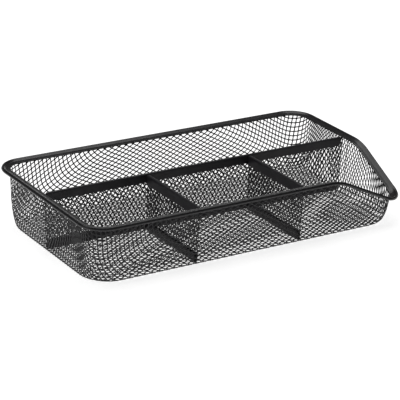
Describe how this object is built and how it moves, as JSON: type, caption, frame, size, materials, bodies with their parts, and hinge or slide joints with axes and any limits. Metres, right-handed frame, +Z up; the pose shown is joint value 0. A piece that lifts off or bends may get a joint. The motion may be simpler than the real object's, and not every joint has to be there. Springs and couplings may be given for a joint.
{
  "type": "desk organizer",
  "caption": "Long black expanded-metal mesh tray with a rolled rim, a scooped front corner, a lengthwise partition and cross dividers in its front row.",
  "frame": {"origin": "centre of the tray's length and width over the rim, on the ground under the pan's floor", "axes": "+X along the tray's length towards its scooped end, -Y towards the front row of compartments, +Z up"},
  "size_m": [0.26, 0.1396, 0.0432],
  "materials": {
    "mesh": "satin black powder coat",
    "rim": "semi-gloss black powder coat",
    "strip": "satin black powder coat"
  },
  "bodies": {
    "root": {"pan": "mesh", "rim": "rim", "partition_mesh": "mesh", "partition_top_strip": "strip", "partition_foot_strip": "strip", "divider_left_mesh": "mesh", "divider_left_top_strip": "strip", "divider_left_foot_strip": "strip", "divider_right_mesh": "mesh", "divider_right_top_strip": "strip", "divider_right_foot_strip": "strip"}
  },
  "joints": []
}
